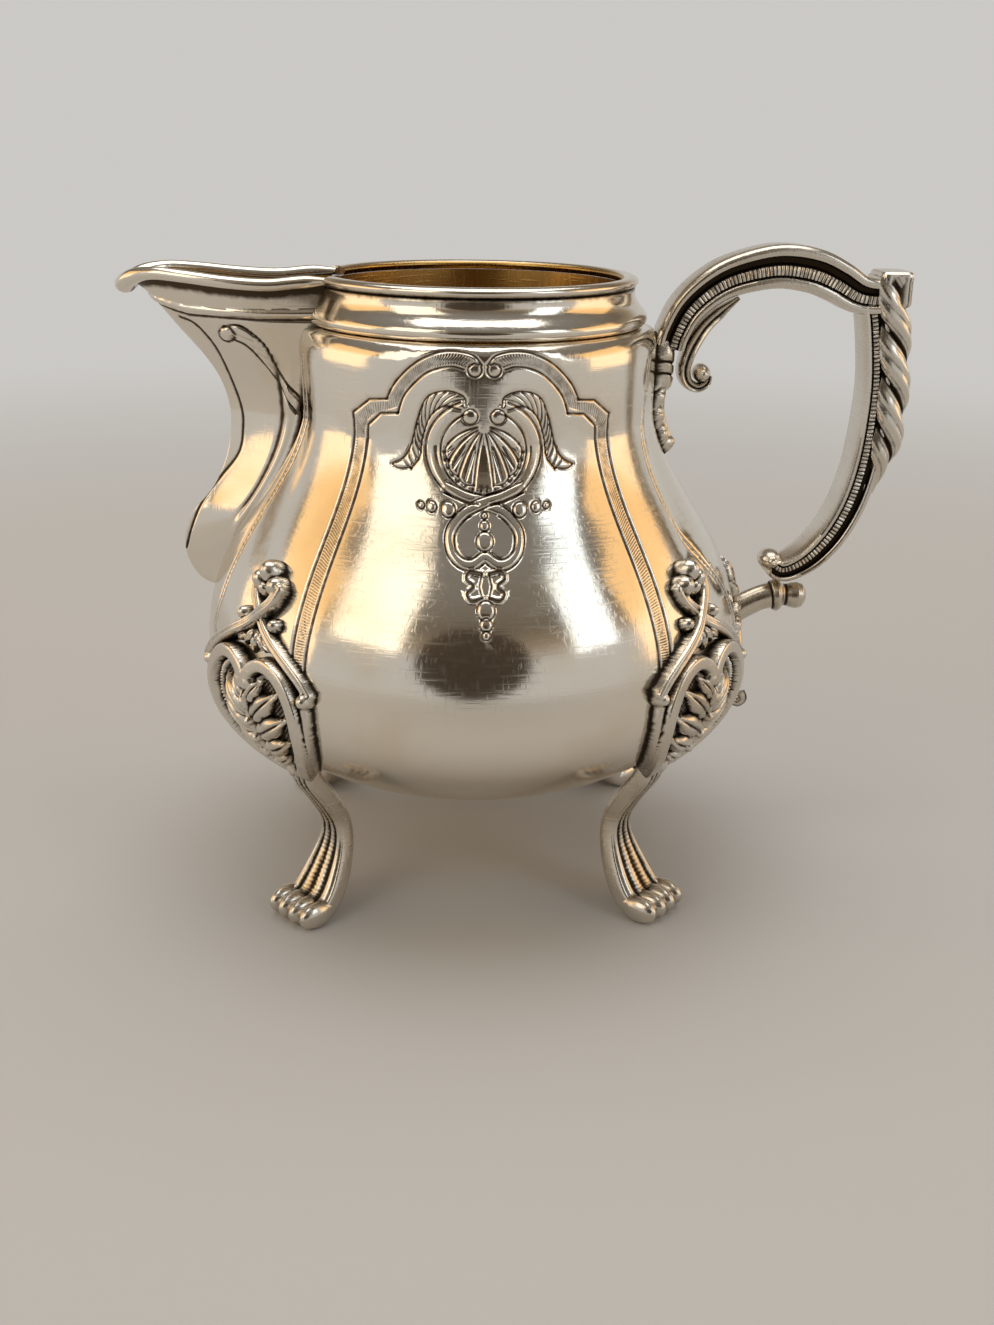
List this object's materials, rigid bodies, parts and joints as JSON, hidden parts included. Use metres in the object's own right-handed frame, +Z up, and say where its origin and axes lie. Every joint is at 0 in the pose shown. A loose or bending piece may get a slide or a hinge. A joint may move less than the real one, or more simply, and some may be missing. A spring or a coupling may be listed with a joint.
{
  "type": "milk jug",
  "caption": "Footed silver milk jug with a pear-shaped creased body, beaked spout, cast scroll handle and cast shield-topped paw legs.",
  "frame": {"origin": "on the table, under the middle of the jug's box", "axes": "+Z up, +X towards the handle, -X towards the spout, the plane Y = 0 passes through both"},
  "size_m": [0.1286, 0.09, 0.1058],
  "materials": {
    "polished_silver": "polished silver with fine wear and engraving",
    "cast_silver": "cast and chased silver with dark patina in its recesses"
  },
  "bodies": {
    "root": {"body_shell": "polished_silver", "neck_collar": "polished_silver", "rim_wire": "polished_silver", "spout_wall": "polished_silver", "spout_lip": "polished_silver", "handle_drop_plate": "cast_silver", "handle_upper_scroll": "cast_silver", "handle_inner_scroll": "cast_silver", "handle_lower_scroll": "cast_silver", "handle_back_leaf": "cast_silver", "handle_branch": "cast_silver", "handle_escutcheon": "cast_silver", "shield_front_handle": "cast_silver", "shank_front_handle": "cast_silver", "shield_back_handle": "cast_silver", "shank_back_handle": "cast_silver", "shield_back_spout": "cast_silver", "shank_back_spout": "cast_silver", "shield_front_spout": "cast_silver", "shank_front_spout": "cast_silver"}
  },
  "joints": []
}
